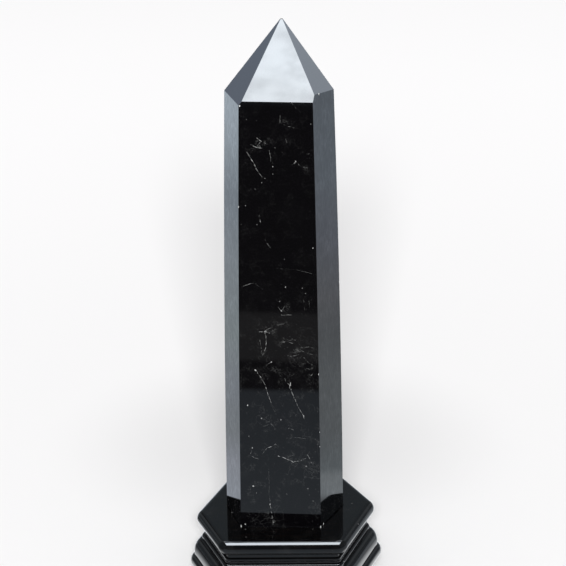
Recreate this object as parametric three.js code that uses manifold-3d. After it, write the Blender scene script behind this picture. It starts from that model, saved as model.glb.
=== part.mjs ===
// A polished morion quartz point standing in the seat of its lacquered hexagonal stand.
// Millimetres, +Z up, front towards -Y, origin under the middle of the stand.
import * as THREE from 'three';
import { ConvexGeometry } from 'three/addons/geometries/ConvexGeometry.js';
import { mergeVertices } from 'three/addons/utils/BufferGeometryUtils.js';
import Module from 'manifold-3d';

const wasm = await Module();
wasm.setup();

// ---- driving dimensions ----

// stand: the board's outline at its widest, a hand-cut hexagon, left front corner first
const BOARD_CORNERS = [
  [-30.5, -36.3],
  [26.8, -37.1],
  [42, 6.9],
  [27.5, 36.8],
  [-27.8, 36.8],
  [-42.5, -1.5],
];
const CORNER_RADIUS = 6; // rounding of the board's six upright corners, at its widest
const STAND_HEIGHT = 29;
const BOARD_THICKNESS = 7;
const SEAT_DEPTH = 2.2; // recess in the board that holds the crystal's foot
const CLEARANCE = 0.3; // gap between pieces that touch
const JOINT_OVERLAP = 0.4; // how far a moulding runs into the next one

// crystal: measured from the board's top face
const CRYSTAL_TURN = -3; // degrees that the crystal is turned on its stand
const CRYSTAL_CENTRE = [-1.6, 0.6]; // where its axis stands on the board
const SHOULDER_HEIGHT = 207.6;
const TIP_HEIGHT = 240.6;
const TIP_OFFSET = [2.1, 1.2]; // how far right of the axis and behind it the point ends
const TIP_WEAR = 0.9; // what is worn off the very tip
const FOOT_HALF_FACE = 18.7; // half the width of the front and back faces
const SHOULDER_HALF_FACE = 16.45;
const FRONT_DEPTH = 20; // axis to the front face, at the foot
const BACK_DEPTH = 22.5;
const LEFT_REACH = [7.9, 7.6]; // the left edge outside the front face, at the foot and the shoulder
const RIGHT_REACH = [9.6, 8.55];
const LEFT_SETBACK = 2; // how far behind the axis the left edge stands, at the foot
const RIGHT_SETBACK = 4;
const DEPTH_TAPER = 0.11; // share by which the crystal thins from front to back up to the shoulder
const BELLY = 0.4; // swell of the polished faces at mid height
const BELLY_RINGS = 5;

// the six facets of the point, front first and anticlockwise from above: how far above the
// shoulder each one cuts the upright edges on its left and on its right
const POINT_FACETS = [
  [0.75, 0.35],
  [3.7, -0.5],
  [-0.5, 0],
  [0, 0],
  [0, -0.6],
  [-0.6, -1.2],
];

// mouldings under the board, from the top: reach is the outline's offset from the board's
// and the rounded edge is as wide as its nose and as high as its rise
const MOULDINGS = [
  { name: 'neck', top: 7 + CLEARANCE, height: 2.1, reach: -4.2, nose: 0, rise: 0 },
  { name: 'upper bead', top: 9.4, height: 1.3, reach: -3.3, nose: 0.4, rise: 0.4 },
  { name: 'lower bead', top: 10.7, height: 1.3, reach: -3.3, nose: 0.4, rise: 0.4 },
  { name: 'fillet', top: 12, height: 2.4, reach: -2.1, nose: 0.9, rise: 0.9 },
  { name: 'torus', top: 14.4, height: 12.5, reach: 1.8, nose: 3.3, rise: 4.9 },
  { name: 'lower board', top: 22, height: 7, reach: 3.6, nose: 3.5, rise: 3.3 },
];

// ---- outlines ----

/** The corners of a closed outline moved outwards by a distance, edges kept parallel. */
function offsetCorners(corners, distance) {
  const count = corners.length;
  return corners.map((corner, i) => {
    const point = new THREE.Vector2(...corner);
    const before = new THREE.Vector2(...corners[(i + count - 1) % count]);
    const after = new THREE.Vector2(...corners[(i + 1) % count]);
    const outwardIn = edgeNormal(before, point);
    const outwardOut = edgeNormal(point, after);
    const bisector = outwardIn.clone().add(outwardOut);
    bisector.multiplyScalar(distance / (1 + outwardIn.dot(outwardOut)));
    return point.add(bisector).toArray();
  });
}

/** Unit normal on the right of the way from start to end, outwards on an anticlockwise outline. */
function edgeNormal(start, end) {
  const along = end.clone().sub(start).normalize();
  return new THREE.Vector2(along.y, -along.x);
}

/** A shape with straight sides and rounded corners. */
function roundedShape(corners, radius) {
  const shape = new THREE.Shape();
  const count = corners.length;
  corners.forEach((corner, i) => {
    const point = new THREE.Vector2(...corner);
    const before = new THREE.Vector2(...corners[(i + count - 1) % count]).sub(point);
    const after = new THREE.Vector2(...corners[(i + 1) % count]).sub(point);
    const run = radius / Math.tan(before.angleTo(after) / 2);
    const start = before.setLength(run).add(point);
    const end = after.setLength(run).add(point);
    if (i === 0) {
      shape.moveTo(start.x, start.y);
    } else {
      shape.lineTo(start.x, start.y);
    }
    shape.quadraticCurveTo(point.x, point.y, end.x, end.y);
  });
  shape.closePath();
  return shape;
}

// ---- solids ----

function toManifold(geometry) {
  const bare = geometry.index ? geometry.clone() : geometry;
  bare.deleteAttribute('normal');
  bare.deleteAttribute('uv');
  const merged = mergeVertices(bare, 1e-4);
  const mesh = new wasm.Mesh({
    numProp: 3,
    vertProperties: new Float32Array(merged.attributes.position.array),
    triVerts: new Uint32Array(merged.index.array),
  });
  return new wasm.Manifold(mesh);
}

function toGeometry(manifold) {
  const mesh = manifold.getMesh();
  const geometry = new THREE.BufferGeometry();
  geometry.setAttribute('position', new THREE.BufferAttribute(mesh.vertProperties, 3));
  geometry.setIndex(new THREE.BufferAttribute(mesh.triVerts, 1));
  return geometry;
}

/** One hexagonal board of the stand, its edge rounded above and below. */
function slab({ top, height, reach, nose, rise }) {
  const outline = offsetCorners(BOARD_CORNERS, reach - nose);
  const radius = CORNER_RADIUS + reach - nose;
  const geometry = new THREE.ExtrudeGeometry(roundedShape(outline, radius), {
    depth: height - 2 * rise,
    curveSegments: 3,
    bevelEnabled: nose > 0,
    bevelSize: nose,
    bevelThickness: rise,
    bevelSegments: nose > 2 ? 5 : 2,
  });
  geometry.translate(0, 0, STAND_HEIGHT - top - height + rise);
  return geometry;
}

/** The six corners of the crystal's section, at a share of the way from foot to shoulder. */
function sectionCorners(share) {
  const belly = BELLY * 4 * share * (1 - share);
  const face = THREE.MathUtils.lerp(FOOT_HALF_FACE, SHOULDER_HALF_FACE, share) + belly;
  const left = THREE.MathUtils.lerp(...LEFT_REACH, share) + belly / 2;
  const right = THREE.MathUtils.lerp(...RIGHT_REACH, share) + belly / 2;
  const taper = 1 - DEPTH_TAPER * share + belly / FRONT_DEPTH;
  return [
    [-face, -FRONT_DEPTH * taper],
    [face, -FRONT_DEPTH * taper],
    [face + right, RIGHT_SETBACK * taper],
    [face + right - left, BACK_DEPTH * taper],
    [right - left - face, BACK_DEPTH * taper],
    [-face - left, LEFT_SETBACK * taper],
  ];
}

function ring(corners, height) {
  return corners.map(([x, y]) => new THREE.Vector3(x, y, height));
}

/** The crystal's upright faces, narrowing upwards, carried on past the shoulder to the tip. */
function prismGeometry() {
  const points = ring(sectionCorners(0), CLEARANCE - SEAT_DEPTH);
  for (let i = 1; i <= BELLY_RINGS; i += 1) {
    const share = i / BELLY_RINGS;
    points.push(...ring(sectionCorners(share), share * SHOULDER_HEIGHT));
  }
  points.push(...ring(sectionCorners(TIP_HEIGHT / SHOULDER_HEIGHT), TIP_HEIGHT));
  return new ConvexGeometry(points);
}

/** The spot where an upright edge of the crystal reaches a height above the shoulder. */
function onUprightEdge(index, rise) {
  const height = SHOULDER_HEIGHT + rise;
  const [x, y] = sectionCorners(height / SHOULDER_HEIGHT)[index];
  return new THREE.Vector3(x, y, height);
}

/** The crystal: the prism with the six facets of its point cut off it. */
function crystalGeometry() {
  const apex = new THREE.Vector3(...TIP_OFFSET, TIP_HEIGHT + TIP_WEAR);
  const cut = POINT_FACETS.reduce((solid, [leftRise, rightRise], i) => {
    const left = onUprightEdge(i, leftRise);
    const right = onUprightEdge((i + 1) % POINT_FACETS.length, rightRise);
    const facet = new THREE.Plane().setFromCoplanarPoints(right, left, apex);
    return solid.trimByPlane(facet.normal.toArray(), -facet.constant);
  }, toManifold(prismGeometry()));
  return toGeometry(cut);
}

/** What is cut out of the board: the crystal's foot with clearance all round. */
function seatGeometry() {
  const foot = offsetCorners(sectionCorners(0), CLEARANCE);
  return new ConvexGeometry([...ring(foot, -SEAT_DEPTH), ...ring(foot, BOARD_THICKNESS)]);
}

/** Places what is drawn around the crystal's axis on the board's top face. */
function placeOnBoard(object) {
  object.position.set(...CRYSTAL_CENTRE, STAND_HEIGHT);
  object.rotation.z = THREE.MathUtils.degToRad(CRYSTAL_TURN);
  object.updateMatrix();
  return object;
}

// ---- the pieces ----

const morion = new THREE.MeshStandardMaterial({ color: 0x0c0b0e, roughness: 0.04, metalness: 0 });
const blackLacquer = new THREE.MeshStandardMaterial({ color: 0x0b0a0a, roughness: 0.12, metalness: 0 });
const lacquerBelow = blackLacquer.clone();

function buildCrystal() {
  const mesh = new THREE.Mesh(crystalGeometry(), morion);
  mesh.name = 'crystal';
  return placeOnBoard(mesh);
}

function buildTopBoard() {
  const half = BOARD_THICKNESS / 2;
  const board = { top: 0, height: BOARD_THICKNESS, reach: 0, nose: half, rise: half - 0.2 };
  const seat = placeOnBoard(new THREE.Object3D());
  const cutter = seatGeometry().applyMatrix4(seat.matrix);
  const solid = toManifold(slab(board)).subtract(toManifold(cutter));
  const mesh = new THREE.Mesh(toGeometry(solid), blackLacquer);
  mesh.name = 'stand_top_board';
  return mesh;
}

function buildMouldedBase() {
  const layers = MOULDINGS.map((moulding, i) => {
    const overlap = i === MOULDINGS.length - 1 ? 0 : JOINT_OVERLAP;
    return toManifold(slab({ ...moulding, height: moulding.height + overlap }));
  });
  const solid = layers.reduce((joined, layer) => joined.add(layer));
  const mesh = new THREE.Mesh(toGeometry(solid), lacquerBelow);
  mesh.name = 'stand_moulded_base';
  return mesh;
}

const morionOnStand = new THREE.Group();
morionOnStand.add(buildMouldedBase(), buildTopBoard(), buildCrystal());

export default morionOnStand;
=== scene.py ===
"""A polished morion point in the seat of its black lacquered stand, on a pale studio floor."""

import math

import bmesh
import bpy
from mathutils import Matrix, Vector


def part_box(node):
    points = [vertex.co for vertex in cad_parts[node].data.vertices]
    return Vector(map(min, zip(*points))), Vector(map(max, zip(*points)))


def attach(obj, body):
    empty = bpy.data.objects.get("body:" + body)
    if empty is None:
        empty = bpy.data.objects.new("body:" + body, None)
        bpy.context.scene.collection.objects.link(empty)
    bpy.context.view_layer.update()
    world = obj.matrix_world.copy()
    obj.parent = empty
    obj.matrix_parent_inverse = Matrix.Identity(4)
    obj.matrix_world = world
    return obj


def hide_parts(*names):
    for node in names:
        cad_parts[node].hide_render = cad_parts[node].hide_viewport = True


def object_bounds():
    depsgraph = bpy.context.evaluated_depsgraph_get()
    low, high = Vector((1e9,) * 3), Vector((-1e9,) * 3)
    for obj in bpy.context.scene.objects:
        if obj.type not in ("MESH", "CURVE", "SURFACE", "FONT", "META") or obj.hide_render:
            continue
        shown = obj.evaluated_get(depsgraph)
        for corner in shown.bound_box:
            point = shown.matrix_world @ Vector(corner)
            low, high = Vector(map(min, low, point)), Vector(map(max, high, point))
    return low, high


bl_info = {
    "name": "Morion Point on a Lacquered Stand",
    "version": (1, 0, 0),
    "blender": (4, 5, 0),
    "location": "3D View > Sidebar > Morion",
    "description": "Models and finishes a black quartz point and its moulded hexagonal stand",
    "category": "Object",
}

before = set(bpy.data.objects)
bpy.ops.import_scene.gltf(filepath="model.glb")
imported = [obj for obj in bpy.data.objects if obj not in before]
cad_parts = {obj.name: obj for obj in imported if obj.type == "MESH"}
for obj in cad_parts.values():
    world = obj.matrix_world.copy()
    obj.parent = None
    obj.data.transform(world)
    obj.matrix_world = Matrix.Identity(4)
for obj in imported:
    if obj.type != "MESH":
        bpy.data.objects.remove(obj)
CAD_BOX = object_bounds()

MM = 0.001
CLEARANCE = 0.3 * MM  # the gap between pieces that touch
JUST_ABOVE = 0.02 * MM  # how far above a level face a section is taken
FLOOR = CAD_BOX[0].z
BOARD_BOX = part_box("stand_top_board")
BOARD_TOP = BOARD_BOX[1].z
CRYSTAL_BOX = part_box("crystal")
CRYSTAL_MIDDLE = (CRYSTAL_BOX[0] + CRYSTAL_BOX[1]) / 2


# ---------------------------------------------------------------- settings


def length(name, description, millimetres):
    return bpy.props.FloatProperty(
        name=name, description=description, default=millimetres * MM, unit="LENGTH", precision=5
    )


def angle(name, description, degrees):
    return bpy.props.FloatProperty(
        name=name, description=description, default=math.radians(degrees), unit="ROTATION"
    )


def colour(name, description, rgb):
    return bpy.props.FloatVectorProperty(
        name=name, description=description, default=rgb, size=3, subtype="COLOR", min=0, max=1
    )


def share(name, description, value):
    return bpy.props.FloatProperty(
        name=name, description=description, default=value, subtype="FACTOR", min=0, max=1
    )


class MorionCrystalSettings(bpy.types.PropertyGroup):
    """Sizes and colours of the quartz point"""

    arris: length("Arris", "Width of the polished round on the crystal's edges", 0.28)
    chip: length("Chip", "Radius of the largest chip on the edges", 1.3)
    body: colour("Body", "Colour of the stone under its polish", (0.0014, 0.0012, 0.0017))
    veil: colour("Veil", "Colour of the healed cracks inside the stone", (0.50, 0.51, 0.50))
    chipped: colour("Chipped stone", "Colour of a fresh chip", (0.62, 0.63, 0.62))
    polish: share("Polish", "Roughness of the polished faces", 0.022)
    veil_strength: share("Veil strength", "How clearly the fine web of cracks shows", 0.10)
    grain: share("Grain", "How much the grain brightens what the side faces mirror", 0.45)


class MorionStandSettings(bpy.types.PropertyGroup):
    """Sizes and colours of the lacquered stand"""

    nose: length("Nose", "Radius of the rounded edge of the top board", 3.48)
    seat_round: length("Seat round", "Width of the softened edge around the crystal's seat", 0.15)
    corner_round: length("Corner round", "Radius of the board's upright corners", 6.0)
    lacquer: colour("Lacquer", "Colour of the black lacquer", (0.0015, 0.0015, 0.0017))
    wood: colour("Wood", "Colour of the wood that shows at worn edges", (0.060, 0.030, 0.016))
    dust: colour("Dust", "Colour of the specks of dust", (0.42, 0.41, 0.40))
    gloss: share("Gloss", "Roughness of the lacquer", 0.045)


class MorionStageSettings(bpy.types.PropertyGroup):
    """The floor, the lights and the camera"""

    floor: colour("Floor", "Colour of the pale floor", (0.985, 0.98, 0.98))
    camera_distance: length("Camera distance", "From the camera to the point it looks at", 1375)
    camera_height: length("Aim height", "Height of the point that the camera looks at", 144)
    camera_left: length("Aim left", "How far left of the middle the camera looks", 0.25)
    camera_pitch: angle("Camera pitch", "How far the camera looks down", 22)
    camera_roll: angle("Camera roll", "How far the camera is tipped to its left", -0.71)
    lens: bpy.props.FloatProperty(
        name="Lens", description="Focal length on a 36 mm sensor", default=190.8, unit="CAMERA"
    )


# ---------------------------------------------------------------- modelling helpers


WELD = 1e-6  # metres: points closer than this are one
FINE_WELD = 1e-7  # the same for a cut or a new solid, before its edges are rounded


def deselect():
    if bpy.context.object and bpy.context.object.mode != "OBJECT":
        bpy.ops.object.mode_set(mode="OBJECT")
    bpy.ops.object.select_all(action="DESELECT")


def added(name, operator, **settings):
    """The object that one of Blender's own operators adds."""
    deselect()
    operator(**settings)
    piece = bpy.context.object
    piece.name = name
    return piece


def activate(piece):
    deselect()
    piece.select_set(True)
    bpy.context.view_layer.objects.active = piece


def turn_from_back_left(arm):
    """The angle of a plan direction, anticlockwise from between the left and left front corners."""
    return (math.atan2(arm.y, arm.x) - math.radians(-150)) % math.tau


def plan_corners(node, height, least_turn=5.0):
    """The corners of a frame node's convex outline at a height, anticlockwise, left front first."""
    mesh = bmesh.new()
    mesh.from_mesh(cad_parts[node].data)
    bmesh.ops.remove_doubles(mesh, verts=mesh.verts, dist=WELD)
    everything = list(mesh.verts) + list(mesh.edges) + list(mesh.faces)
    cut = bmesh.ops.bisect_plane(
        mesh, geom=everything, dist=FINE_WELD, plane_co=(0, 0, height), plane_no=(0, 0, 1)
    )
    points = [v.co.xy.copy() for v in cut["geom_cut"] if isinstance(v, bmesh.types.BMVert)]
    mesh.free()
    middle = sum(points, Vector((0, 0))) / len(points)
    points.sort(key=lambda p: turn_from_back_left(p - middle))
    corners = []
    for i, point in enumerate(points):
        before = point - points[i - 1]
        after = points[(i + 1) % len(points)] - point
        if min(before.length, after.length) < WELD:
            continue
        if abs(before.angle_signed(after)) > math.radians(least_turn):
            corners.append(point)
    return corners


def straight_corners(outline, shortest=8 * MM):
    """The sharp corners that the long straight sides of a rounded outline would meet in."""
    count = len(outline)
    sides = [(outline[i], outline[(i + 1) % count]) for i in range(count)]
    sides = [side for side in sides if (side[1] - side[0]).length > shortest]
    corners = []
    for i, (start, end) in enumerate(sides):
        last_start, last_end = sides[i - 1]
        along, last_along = end - start, last_end - last_start
        spread = last_along.x * along.y - last_along.y * along.x
        reach = ((start - last_start).x * along.y - (start - last_start).y * along.x) / spread
        corners.append(last_start + last_along * reach)
    return corners


def outward(start, end):
    along = (end - start).normalized()
    return Vector((along.y, -along.x))


def offset_corners(corners, distance):
    """The corners of a closed outline moved outwards, its sides kept parallel."""
    moved = []
    for i, point in enumerate(corners):
        before = outward(corners[i - 1], point)
        after = outward(point, corners[(i + 1) % len(corners)])
        moved.append(point + (before + after) * (distance / (1 + before.dot(after))))
    return moved


def rounded_ring(corners, distance, height, radius, steps=10):
    """A ring of points outside sharp corners by a distance, each corner an arc about one centre."""
    ring = []
    centres = offset_corners(corners, -radius)
    for i, centre in enumerate(centres):
        before = outward(corners[i - 1], corners[i])
        after = outward(corners[i], corners[(i + 1) % len(corners)])
        turn = before.angle_signed(after)
        for k in range(steps + 1):
            normal = before.copy()
            normal.rotate(Matrix.Rotation(-turn * k / steps, 2))
            point = centre + normal * (radius + distance)
            ring.append(Vector((point.x, point.y, height)))
    return ring


def place_ring(mesh_data, ring):
    """Moves the selected loop of an edit mesh on to a ring of points, each vertex by its number."""
    mesh = bmesh.from_edit_mesh(mesh_data)
    number = mesh.verts.layers.int["number"]
    for vertex in mesh.verts:
        if vertex.select:
            vertex.co = ring[vertex[number]]
    bmesh.update_edit_mesh(mesh_data)


def number_vertices(mesh_data):
    """Numbers a new circle's vertices. An extrusion copies the numbers."""
    mesh = bmesh.from_edit_mesh(mesh_data)
    number = mesh.verts.layers.int.new("number")
    for i, vertex in enumerate(mesh.verts):
        vertex[number] = i
    bmesh.update_edit_mesh(mesh_data)


def open_mesh(piece, select_mode, action):
    """Goes into edit mode with everything selected, or nothing."""
    activate(piece)
    bpy.ops.object.mode_set(mode="EDIT")
    bpy.ops.mesh.select_mode(type=select_mode)
    bpy.ops.mesh.select_all(action=action)


def close_mesh(threshold):
    """Joins points that meet, turns all faces outwards and leaves edit mode."""
    bpy.ops.mesh.select_all(action="SELECT")
    bpy.ops.mesh.remove_doubles(threshold=threshold)
    bpy.ops.mesh.normals_make_consistent(inside=False)
    bpy.ops.object.mode_set(mode="OBJECT")


def loft(name, rings):
    """A closed solid through rings: the first one is filled, and extruded on to the others."""
    circle = {"vertices": len(rings[0]), "radius": MM, "fill_type": "NGON"}
    piece = added(name, bpy.ops.mesh.primitive_circle_add, **circle)
    piece.data.name = name
    open_mesh(piece, "FACE", "SELECT")
    number_vertices(piece.data)
    place_ring(piece.data, rings[0])
    for ring in rings[1:]:
        bpy.ops.mesh.extrude_region_move()
        place_ring(piece.data, ring)
    close_mesh(FINE_WELD)
    piece.data.attributes.remove(piece.data.attributes["number"])
    return piece


def cut_away(piece, cutter):
    """Cuts one mesh out of another and deletes the cutter. Cut faces keep the cutter's material."""
    activate(piece)
    cut = piece.modifiers.new("cut", "BOOLEAN")
    cut.operation = "DIFFERENCE"
    cut.solver = "EXACT"
    cut.material_mode = "TRANSFER"
    cut.object = cutter
    bpy.ops.object.modifier_apply(modifier=cut.name)
    bpy.data.objects.remove(cutter, do_unlink=True)


def bevel_edges(piece, width, segments, chosen):
    """Rounds the edges of a mesh that a test picks."""
    open_mesh(piece, "EDGE", "DESELECT")
    mesh = bmesh.from_edit_mesh(piece.data)
    for edge in mesh.edges:
        edge.select = chosen(edge)
    bmesh.update_edit_mesh(piece.data)
    bpy.ops.mesh.bevel(offset=width, segments=segments, profile=0.5, clamp_overlap=True)
    bpy.ops.object.mode_set(mode="OBJECT")


def soften(piece, degrees=32.0):
    """Smooth shading that breaks at real edges and keeps broad faces flat."""
    activate(piece)
    bpy.ops.object.shade_smooth_by_angle(angle=math.radians(degrees))
    weigh = piece.modifiers.new("weigh", "WEIGHTED_NORMAL")
    weigh.mode = "FACE_AREA"
    weigh.weight = 90
    weigh.keep_sharp = True
    bpy.ops.object.modifier_apply(modifier=weigh.name)


# ---------------------------------------------------------------- node helpers


class Wiring:
    """Adds nodes to a node tree. An input is a number, a colour or another node's output."""

    def __init__(self, tree):
        self.tree = tree

    def node(self, kind, inputs=None, **settings):
        node = self.tree.nodes.new(kind)
        for name, value in settings.items():
            setattr(node, name, value)
        for key, value in (inputs or {}).items():
            if isinstance(value, bpy.types.NodeSocket):
                self.tree.links.new(value, node.inputs[key])
            else:
                node.inputs[key].default_value = value
        return node

    def math(self, operation, first, second=0.0, third=0.0):
        node = self.node("ShaderNodeMath", {0: first, 1: second, 2: third}, operation=operation)
        return node.outputs[0]

    def times(self, first, second):
        return self.math("MULTIPLY", first, second)

    def larger(self, first, second):
        return self.math("MAXIMUM", first, second)

    def at_least(self, least, value):
        """A value between 0 and 1, squeezed up to start at a level."""
        return self.math("MULTIPLY_ADD", value, 1 - least, least)

    def clamped(self, value):
        """A value kept between 0 and 1 by two nodes, which the renderer holds in less room."""
        return self.math("MINIMUM", self.larger(value, 0.0), 1.0)

    def vector(self, operation, first, second=(0, 0, 0)):
        node = self.node("ShaderNodeVectorMath", {0: first, 1: second}, operation=operation)
        return node.outputs["Value" if operation in ("DOT_PRODUCT", "DISTANCE", "LENGTH") else 0]

    def scaled(self, vector, factor):
        node = self.node("ShaderNodeVectorMath", {0: vector, "Scale": factor}, operation="SCALE")
        return node.outputs[0]

    def stretched(self, vector, scale, turn=0.0):
        """Coordinates stretched along the axes and turned about the Y axis."""
        inputs = {"Vector": vector, "Rotation": (0, turn, 0), "Scale": scale}
        return self.node("ShaderNodeMapping", inputs).outputs["Vector"]

    def axis(self, vector, name):
        """A vector's X, Y or Z."""
        return self.node("ShaderNodeSeparateXYZ", {"Vector": vector}).outputs[name]

    def ramp(self, value, low, high, out_low=0.0, out_high=1.0):
        """A smooth step of a value from one level to another."""
        inputs = {"Value": value, "From Min": low, "From Max": high}
        inputs.update({"To Min": out_low, "To Max": out_high})
        node = self.node("ShaderNodeMapRange", inputs, interpolation_type="SMOOTHSTEP")
        return node.outputs["Result"]

    def mix(self, factor, first, second):
        inputs = {"Factor": factor, "A": first, "B": second}
        return self.node("ShaderNodeMix", inputs, data_type="RGBA").outputs["Result"]

    def noise(self, vector, scale, detail=2.0, roughness=0.5, distortion=0.0):
        inputs = {"Vector": vector, "Scale": scale, "Detail": detail}
        inputs.update({"Roughness": roughness, "Distortion": distortion})
        return self.node("ShaderNodeTexNoise", inputs).outputs["Fac"]

    def wobble(self, vector, scale, detail, reach):
        """A small push whose direction wanders from place to place."""
        inputs = {"Vector": vector, "Scale": scale, "Detail": detail}
        rgb = self.node("ShaderNodeTexNoise", inputs).outputs["Color"]
        return self.scaled(self.vector("SUBTRACT", rgb, (0.5, 0.5, 0.5)), reach)

    def bump(self, height, strength, distance):
        inputs = {"Height": height, "Strength": strength, "Distance": distance}
        return self.node("ShaderNodeBump", inputs).outputs["Normal"]


def new_group(name, draw, inputs):
    """A node group that a function draws. An input without a default is a vector."""
    group = bpy.data.node_groups.new(name, "ShaderNodeTree")
    for label, default in inputs.items():
        kind = "NodeSocketVector" if default is None else "NodeSocketFloat"
        socket = group.interface.new_socket(label, in_out="INPUT", socket_type=kind)
        if default is not None:
            socket.default_value = default
    w = Wiring(group)
    given = list(w.node("NodeGroupInput").outputs)[: len(inputs)]
    results = draw(w, *given)
    for label in results:
        group.interface.new_socket(label, in_out="OUTPUT", socket_type="NodeSocketFloat")
    w.node("NodeGroupOutput", results)
    return group


def draw_hairline(w, place, start, along, share_of_run, half_width, level, gain):
    """One stretch of a healed crack seen edge on: a hairline between two places on the front."""
    here = w.vector("SUBTRACT", place, start)
    reach = w.clamped(w.vector("DOT_PRODUCT", here, share_of_run))
    away = w.vector("DISTANCE", here, w.scaled(along, reach))
    line = w.math("SUBTRACT", 1.0, w.math("DIVIDE", away, half_width))
    strength = w.math("MULTIPLY_ADD", reach, gain, level)
    return {"Mask": w.times(w.larger(line, 0.0), strength)}


def draw_patch(w, place, centre, one_over_size, strength):
    """A soft-edged oval on the front face, for a single spark or a cloud of fine cracks."""
    here = w.vector("SUBTRACT", place, centre)
    away = w.vector("LENGTH", w.vector("MULTIPLY", here, one_over_size))
    inside = w.clamped(w.math("MULTIPLY_ADD", away, -1.6, 1.6))
    return {"Mask": w.times(inside, strength)}


def draw_web(w, place, scale, thinness, coverage):
    """A broken web of thin wandering lines, as of cracks that healed while the crystal grew."""
    bent = w.vector("ADD", place, w.wobble(place, w.times(scale, 1.3), 3.0, 0.010))
    inputs = {"Vector": bent, "Scale": scale}
    cells = w.node("ShaderNodeTexVoronoi", inputs, feature="DISTANCE_TO_EDGE")
    line = w.ramp(cells.outputs["Distance"], 0.0, thinness, 1.0, 0.0)
    patches = w.noise(place, w.times(scale, 0.45), 4.0, 0.6)
    lowest = w.math("SUBTRACT", 1.0, coverage)
    shown = w.ramp(patches, lowest, w.math("ADD", lowest, 0.12))
    return {"Mask": w.times(line, shown)}


def draw_flecks(w, place, scale, size, amount):
    """Scattered tiny specks, each a different strength."""
    cells = w.node("ShaderNodeTexVoronoi", {"Vector": place, "Scale": scale}).outputs
    dot = w.ramp(cells["Distance"], 0.0, size, 1.0, 0.0)
    draw = w.node("ShaderNodeSeparateColor", {"Color": cells["Color"]}).outputs
    kept = w.math("LESS_THAN", draw["Red"], amount)
    strength = w.times(kept, w.math("POWER", draw["Green"], 2.0))
    return {"Mask": w.times(dot, strength)}


def draw_polish(w, place, waviness, scratches):
    """Marks that polishing leaves: fine scratches two ways, and a slow waviness."""
    height = w.times(w.noise(place, 45.0, 1.0), waviness)
    haze = w.noise(place, 160.0, 5.0, 0.65)
    for turn, stretch in ((0.25, (1, 1, 0.03)), (-0.55, (1, 1, 0.05))):
        lie = w.stretched(place, stretch, turn)
        hair = w.ramp(w.noise(lie, 5200.0, 1.0), 0.66, 0.78)
        height = w.math("SUBTRACT", height, w.times(hair, scratches))
    return {"Height": height, "Haze": haze}


# The shared node groups: name, what draws it, and its inputs with their defaults.
GROUPS = {
    "hairline": (
        "Healed crack",
        draw_hairline,
        {"Vector": None, "From": None, "Along": None, "Share": None}
        | {"Half width": 0.2 * MM, "Start strength": 0.5, "Gain": 0.0},
    ),
    "patch": (
        "Patch",
        draw_patch,
        {"Vector": None, "Centre": None, "One over size": None, "Strength": 0.5},
    ),
    "web": (
        "Crack web",
        draw_web,
        {"Vector": None, "Scale": 150.0, "Thinness": 0.04, "Coverage": 0.5},
    ),
    "flecks": (
        "Flecks",
        draw_flecks,
        {"Vector": None, "Scale": 300.0, "Size": 0.12, "Amount": 0.2},
    ),
    "polish": ("Polish marks", draw_polish, {"Vector": None, "Waviness": 0.5, "Scratches": 0.3}),
}
BUILT = {}


def group_node(w, name, *values):
    """Places a shared node group, built when it is first asked for. Its inputs are in order."""
    if name not in BUILT:
        BUILT[name] = new_group(*GROUPS[name])
    return w.node("ShaderNodeGroup", dict(enumerate(values)), node_tree=BUILT[name]).outputs


def web(w, place, scale, thinness, coverage):
    return group_node(w, "web", place, scale, thinness, coverage)["Mask"]


def flecks(w, place, scale, size, amount):
    return group_node(w, "flecks", place, scale, size, amount)["Mask"]


def new_material(name):
    """A material, its wiring and the coordinates of the piece that it is on."""
    material = bpy.data.materials.new(name)
    material.use_nodes = True
    material.node_tree.nodes.clear()
    w = Wiring(material.node_tree)
    return material, w, w.node("ShaderNodeTexCoord").outputs["Object"]


def show(w, kind, inputs):
    """Ends a material in a shader."""
    shader = w.node(kind, inputs)
    output = w.node("ShaderNodeOutputMaterial")
    w.tree.links.new(shader.outputs[0], output.inputs["Surface"])


def solid(rgb, level=1.0):
    """A colour for a socket, at a share of its brightness."""
    return (*(level * c for c in rgb), 1.0)


# ---------------------------------------------------------------- finishes

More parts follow.
